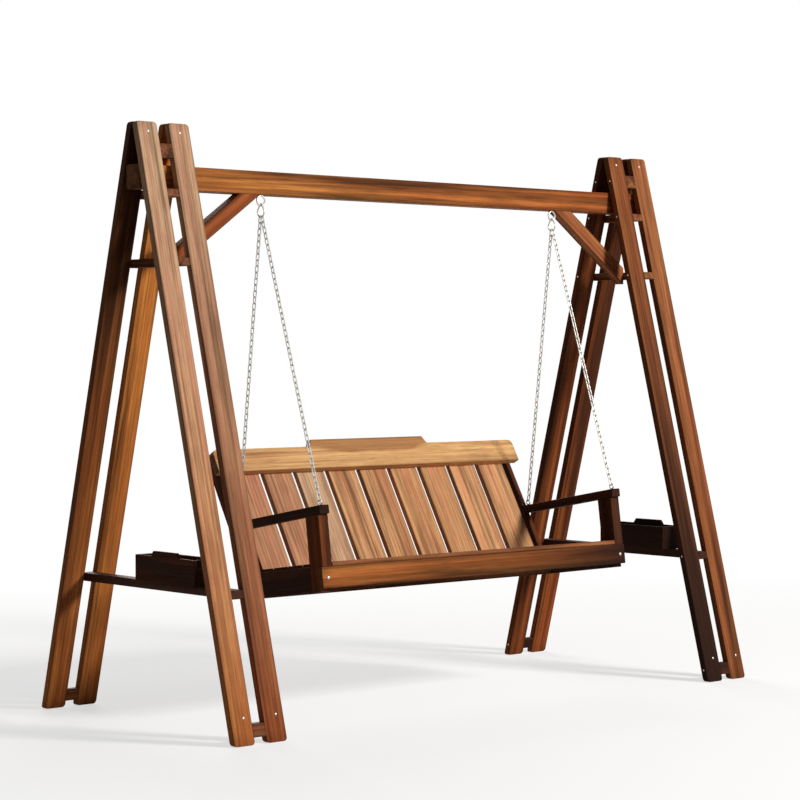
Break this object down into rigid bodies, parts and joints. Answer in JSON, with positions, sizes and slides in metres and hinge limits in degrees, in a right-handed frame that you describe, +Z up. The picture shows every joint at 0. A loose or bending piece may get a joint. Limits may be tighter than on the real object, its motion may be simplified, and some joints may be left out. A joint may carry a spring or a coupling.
{
  "type": "garden swing bench",
  "caption": "Free-standing wooden A-frame swing: slatted bench with a crested back, hung from a braced beam on V chains, with a small box on each end frame.",
  "frame": {"origin": "on the ground, under the middle of the beam", "axes": "+X along the beam, -Y towards the front of the seat, +Z up"},
  "size_m": [2.445, 1.104, 2],
  "materials": {
    "leg_wood": "oiled, scorched softwood with open grain",
    "beam_wood": "oiled, scorched softwood with open grain",
    "seat_wood": "oiled, scorched softwood with open grain",
    "box_wood": "oiled, scorched softwood with open grain",
    "zinc_steel": "bright zinc plate, a little dulled"
  },
  "bodies": {
    "stand": {"beam": "beam_wood", "beam_nuts": "zinc_steel", "beam_washers": "zinc_steel", "left_beam_eye_bolt": "zinc_steel", "left_beam_tie": "beam_wood", "left_box_bottom": "box_wood", "left_box_ends": "box_wood", "left_box_inner_side": "box_wood", "left_box_outer_side": "box_wood", "left_cap_block": "beam_wood", "left_collar_tie": "beam_wood", "left_foot_spacers": "beam_wood", "left_inner_front_leg": "leg_wood", "left_inner_rear_leg": "leg_wood", "left_knee_brace": "beam_wood", "left_outer_front_leg": "leg_wood", "left_outer_rear_leg": "leg_wood", "left_shelf_tie": "beam_wood", "right_beam_eye_bolt": "zinc_steel", "right_beam_tie": "beam_wood", "right_box_bottom": "box_wood", "right_box_ends": "box_wood", "right_box_inner_side": "box_wood", "right_box_outer_side": "box_wood", "right_cap_block": "beam_wood", "right_collar_tie": "beam_wood", "right_foot_spacers": "beam_wood", "right_inner_front_leg": "leg_wood", "right_inner_rear_leg": "leg_wood", "right_knee_brace": "beam_wood", "right_outer_front_leg": "leg_wood", "right_outer_rear_leg": "leg_wood", "right_shelf_tie": "beam_wood"},
    "swing": {"arm_eyes": "zinc_steel", "back_lower_rail": "seat_wood", "back_slats": "seat_wood", "crest_rail": "seat_wood", "left_arm": "seat_wood", "left_back_stile": "seat_wood", "left_front_chain": "zinc_steel", "left_front_post": "seat_wood", "left_rear_chain": "zinc_steel", "left_side_rail": "seat_wood", "left_swivel_ring": "zinc_steel", "right_arm": "seat_wood", "right_back_stile": "seat_wood", "right_front_chain": "zinc_steel", "right_front_post": "seat_wood", "right_rear_chain": "zinc_steel", "right_side_rail": "seat_wood", "right_swivel_ring": "zinc_steel", "seat_board_1": "seat_wood", "seat_board_2": "seat_wood", "seat_board_3": "seat_wood", "seat_board_4": "seat_wood", "seat_board_5": "seat_wood", "seat_front_rail": "seat_wood", "seat_joists": "seat_wood", "seat_rear_rail": "seat_wood"}
  },
  "joints": [
    {"name": "seat_swing", "type": "hinge", "parent": "stand", "child": "swing", "pos_m": [0, -0.02606, 1.741], "axis": [1, 0, 0], "range_deg": [-25, 25]}
  ]
}
